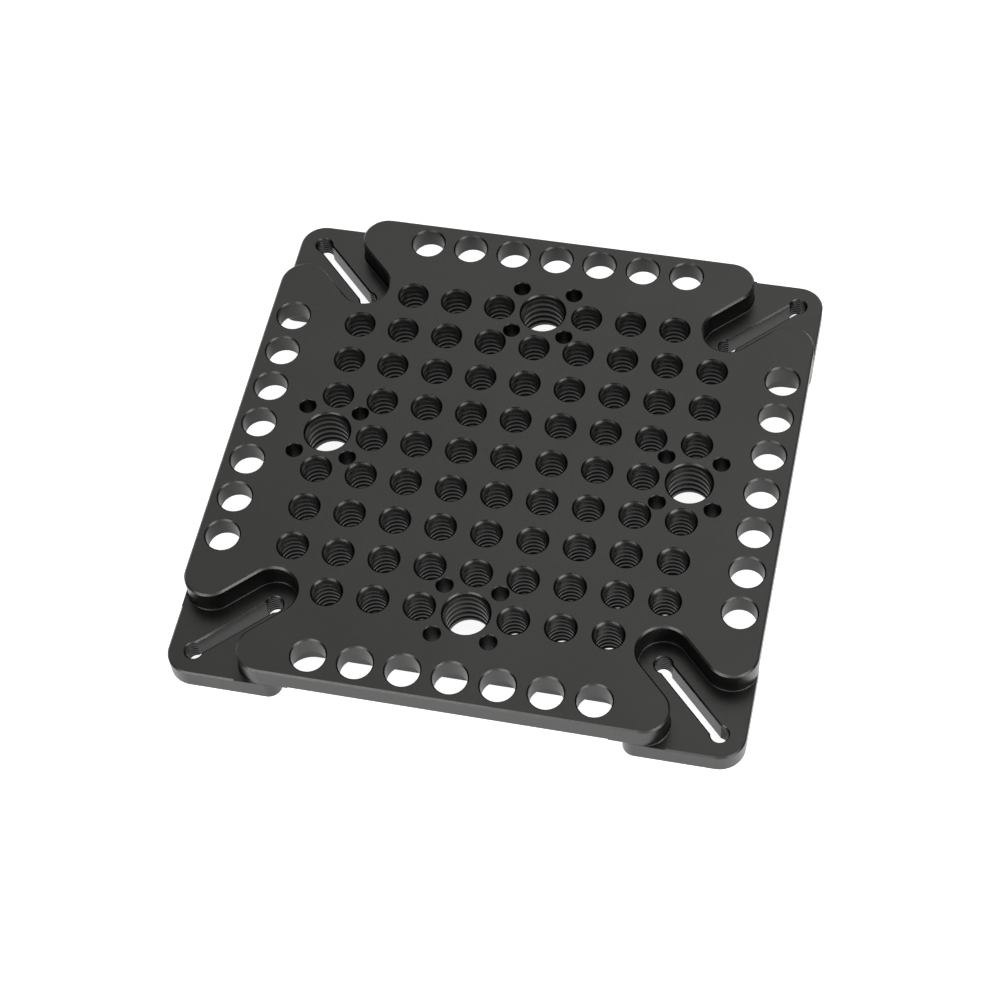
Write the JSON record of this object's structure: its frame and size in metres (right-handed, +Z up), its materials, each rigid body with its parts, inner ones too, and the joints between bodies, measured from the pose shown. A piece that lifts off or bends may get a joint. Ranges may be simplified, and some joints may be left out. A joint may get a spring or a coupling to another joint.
{
  "type": "camera cheese plate",
  "caption": "Square two-level camera mounting plate with a grid of tapped holes, slotted corners in diagonal pockets and thin drilled strips along its sides.",
  "frame": {"origin": "centre of the plate's underside", "axes": "+Z up through the holes, out of the upper face; +X and +Y along the rows of holes"},
  "size_m": [0.11, 0.11, 0.0097],
  "materials": {
    "anodised_aluminium": "matte black anodised"
  },
  "bodies": {
    "root": {"cheese_plate": "anodised_aluminium"}
  },
  "joints": []
}
